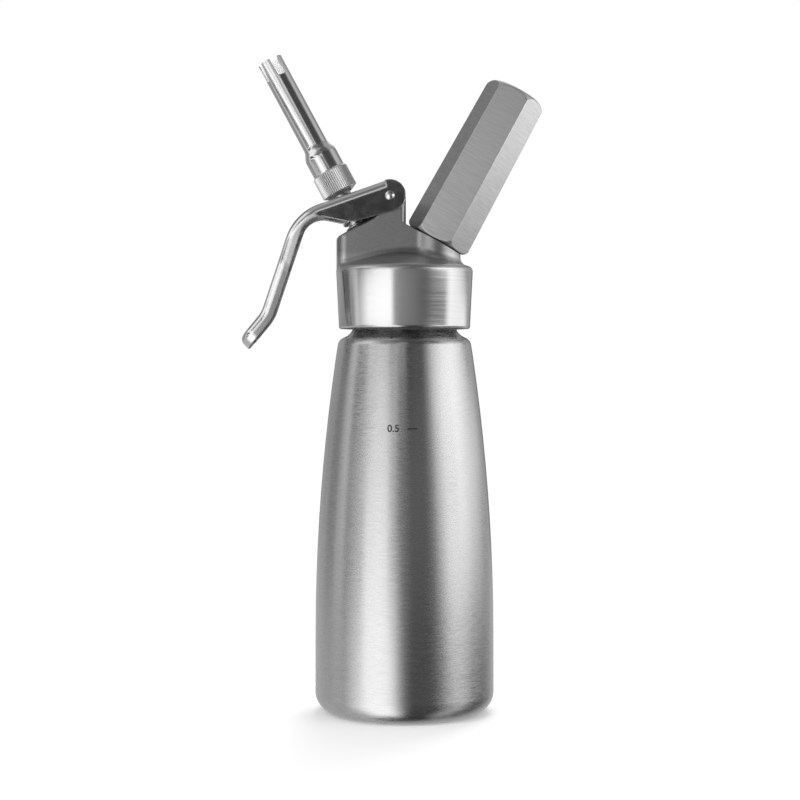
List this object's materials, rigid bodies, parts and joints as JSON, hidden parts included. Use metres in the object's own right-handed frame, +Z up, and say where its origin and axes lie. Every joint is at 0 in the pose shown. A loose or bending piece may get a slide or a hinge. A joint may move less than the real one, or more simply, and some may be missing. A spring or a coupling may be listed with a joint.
{
  "type": "cream whipper",
  "caption": "Cream whipper: a waisted steel bottle under a screw-on cast head with a lever valve, a slotted decorator tip and a hexagonal gas charger holder.",
  "frame": {"origin": "centre of the base, on the plane that the bottle stands on", "axes": "+Z up along the bottle's axis, -X towards the decorator tip and the lever, +X towards the charger holder"},
  "size_m": [0.1295, 0.077, 0.2833],
  "materials": {
    "bottle_steel": "stainless, brushed round the axis",
    "polished_steel": "stainless, polished",
    "turned_steel": "stainless, turned",
    "cast_aluminium": "cast, satin",
    "turned_aluminium": "turned, satin",
    "brass": "turned",
    "acetal": "natural acetal",
    "silicone": "food grade silicone",
    "seal_rubber": "black seal rubber"
  },
  "bodies": {
    "bottle": {"bottle": "bottle_steel"},
    "seal_ring": {"head_gasket": "silicone"},
    "head": {"head_casting": "cast_aluminium", "lever_pin": "polished_steel", "guide_bush": "acetal", "piston_o_ring": "seal_rubber", "return_spring": "turned_steel", "piercing_pin": "brass", "pin_o_ring": "seal_rubber", "charger_seal": "seal_rubber", "check_valve": "seal_rubber", "inlet_retainer": "brass"},
    "lever": {"lever": "polished_steel"},
    "piston": {"valve_piston": "turned_steel", "piston_seal": "silicone", "thrust_nut": "turned_steel"},
    "tip_seal": {"tip_gasket": "silicone"},
    "tip": {"tip_ring": "turned_aluminium", "tip_tube": "polished_steel"},
    "holder": {"charger_holder": "turned_aluminium"}
  },
  "joints": [
    {"name": "head_lift", "type": "slide", "parent": "bottle", "child": "seal_ring", "axis": [0, 0, 1], "range_m": [0, 0.036]},
    {"name": "head_turn", "type": "hinge", "parent": "seal_ring", "child": "head", "pos_m": [0, 0, 0.1844], "axis": [0, 0, 1], "range_deg": [0, 3240]},
    {"name": "lever_squeeze", "type": "hinge", "parent": "head", "child": "lever", "pos_m": [-0.0062, 0, 0.22179], "axis": [0, -1, 0], "range_deg": [0, 9.5], "stiffness_Nm_per_rad": 0.69, "springref_deg": -9.74},
    {"name": "valve_stroke", "type": "slide", "parent": "head", "child": "piston", "axis": [0.4741, 0, -0.8805], "range_m": [0, 0.00296], "deforming": ["return_spring"]},
    {"name": "tip_lift", "type": "slide", "parent": "piston", "child": "tip_seal", "axis": [-0.4741, 0, 0.8805], "range_m": [0, 0.01]},
    {"name": "tip_turn", "type": "hinge", "parent": "tip_seal", "child": "tip", "pos_m": [-0.03055, 0, 0.22923], "axis": [-0.4741, 0, 0.8805], "range_deg": [0, 2880]},
    {"name": "holder_off", "type": "slide", "parent": "head", "child": "holder", "axis": [0.4802, 0, 0.8771], "range_m": [0, 0.09]}
  ],
  "couplings": [
    {"joint": "head_turn", "follows": "head_lift", "rad_per_m": 1570.8},
    {"joint": "valve_stroke", "follows": "lever_squeeze", "m_per_rad": 0.0177},
    {"joint": "tip_turn", "follows": "tip_lift", "rad_per_m": 5026.5}
  ]
}
